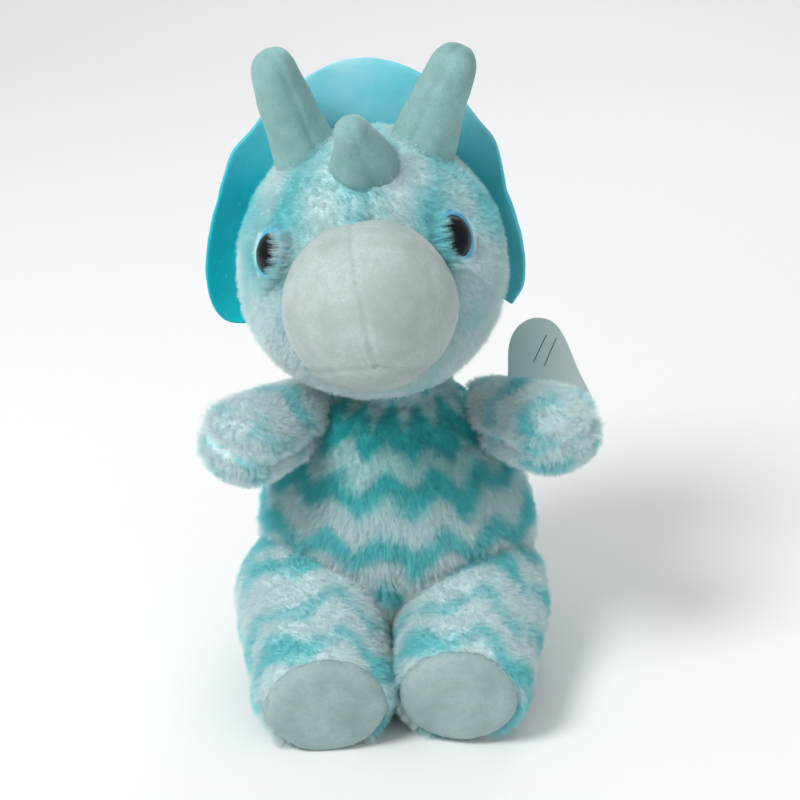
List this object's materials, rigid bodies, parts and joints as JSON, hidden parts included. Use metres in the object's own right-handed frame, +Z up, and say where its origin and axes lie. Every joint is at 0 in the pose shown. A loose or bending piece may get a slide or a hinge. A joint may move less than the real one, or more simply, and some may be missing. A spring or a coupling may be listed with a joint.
{
  "type": "stuffed dinosaur",
  "caption": "Seated stuffed dinosaur with chevron fur, smooth round snout, stuffed horns, felt neck frill, plastic eyes and a hang tag; its head, arms, legs and tail flex.",
  "frame": {"origin": "centre of the toy's box in plan, on the surface that it sits on", "axes": "+Z up, the toy faces -Y, +X is to the right as seen from the front"},
  "size_m": [0.1368, 0.159, 0.2317],
  "materials": {
    "chevron_fur": "matte",
    "smooth_velour": "matte",
    "felt": "matte",
    "stuffing": "matte",
    "bead_cloth": "matte",
    "satin": "satin",
    "nylon": "satin",
    "eye_black": "gloss",
    "eye_glitter": "gloss",
    "card": "satin"
  },
  "bodies": {
    "torso": {"torso_front_left": "chevron_fur", "torso_front_right": "chevron_fur", "torso_back_left": "chevron_fur", "torso_back_right": "chevron_fur", "torso_stuffing": "stuffing", "seat_panel": "chevron_fur", "bead_pouch": "bead_cloth", "care_label": "satin", "tag_fastener": "nylon"},
    "neck": {"neck_plug": "stuffing"},
    "head": {"head_front_left": "chevron_fur", "head_front_right": "chevron_fur", "head_back_left": "chevron_fur", "head_back_right": "chevron_fur", "head_stuffing": "stuffing", "snout_left": "smooth_velour", "snout_right": "smooth_velour", "snout_chin": "smooth_velour", "snout_stuffing": "stuffing", "frill_front": "felt", "frill_back": "felt", "nose_horn_cover": "smooth_velour", "nose_horn_stuffing": "stuffing", "left_brow_horn_cover": "smooth_velour", "left_brow_horn_stuffing": "stuffing", "right_brow_horn_cover": "smooth_velour", "right_brow_horn_stuffing": "stuffing", "left_eye_dome": "eye_black", "left_eye_rim": "eye_glitter", "left_eye_washer": "nylon", "right_eye_dome": "eye_black", "right_eye_rim": "eye_glitter", "right_eye_washer": "nylon"},
    "left_arm": {"left_arm_upper": "chevron_fur", "left_arm_lower": "chevron_fur", "left_arm_stuffing": "stuffing"},
    "right_arm": {"right_arm_upper": "chevron_fur", "right_arm_lower": "chevron_fur", "right_arm_stuffing": "stuffing"},
    "left_leg": {"left_leg_cover": "chevron_fur", "left_sole": "smooth_velour", "left_leg_stuffing": "stuffing"},
    "right_leg": {"right_leg_cover": "chevron_fur", "right_sole": "smooth_velour", "right_leg_stuffing": "stuffing"},
    "tail": {"tail_left": "chevron_fur", "tail_right": "chevron_fur", "tail_stuffing": "stuffing"},
    "tag": {"hang_tag": "card"}
  },
  "joints": [
    {"name": "head_turn", "type": "hinge", "parent": "torso", "child": "neck", "pos_m": [0, 0.0105, 0.1005], "axis": [0, 0, -1], "range_deg": [-35, 35], "stiffness_Nm_per_rad": 0.08},
    {"name": "head_nod", "type": "hinge", "parent": "neck", "child": "head", "pos_m": [0, 0.0105, 0.1005], "axis": [-1, 0, 0], "range_deg": [-16, 12], "stiffness_Nm_per_rad": 0.5},
    {"name": "left_arm_raise", "type": "hinge", "parent": "torso", "child": "left_arm", "pos_m": [-0.037, 0.0065, 0.092], "axis": [-0.9176, 0.3976, 0], "range_deg": [-24, 20], "stiffness_Nm_per_rad": 0.03},
    {"name": "right_arm_raise", "type": "hinge", "parent": "torso", "child": "right_arm", "pos_m": [0.037, 0.0065, 0.092], "axis": [-0.9176, -0.3976, 0], "range_deg": [-24, 20], "stiffness_Nm_per_rad": 0.03},
    {"name": "left_leg_lift", "type": "hinge", "parent": "torso", "child": "left_leg", "pos_m": [-0.034, -0.0075, 0.026], "axis": [-1, 0, 0], "range_deg": [0, 25], "stiffness_Nm_per_rad": 0.08},
    {"name": "right_leg_lift", "type": "hinge", "parent": "torso", "child": "right_leg", "pos_m": [0.034, -0.0075, 0.026], "axis": [-1, 0, 0], "range_deg": [0, 25], "stiffness_Nm_per_rad": 0.08},
    {"name": "tail_wag", "type": "hinge", "parent": "torso", "child": "tail", "pos_m": [0, 0.0485, 0.016], "axis": [0, 0, 1], "range_deg": [-20, 20], "stiffness_Nm_per_rad": 0.01},
    {"name": "tag_swing", "type": "hinge", "parent": "torso", "child": "tag", "pos_m": [0.042, 0.0275, 0.082], "axis": [0, 1, 0], "range_deg": [-10, 60]}
  ]
}
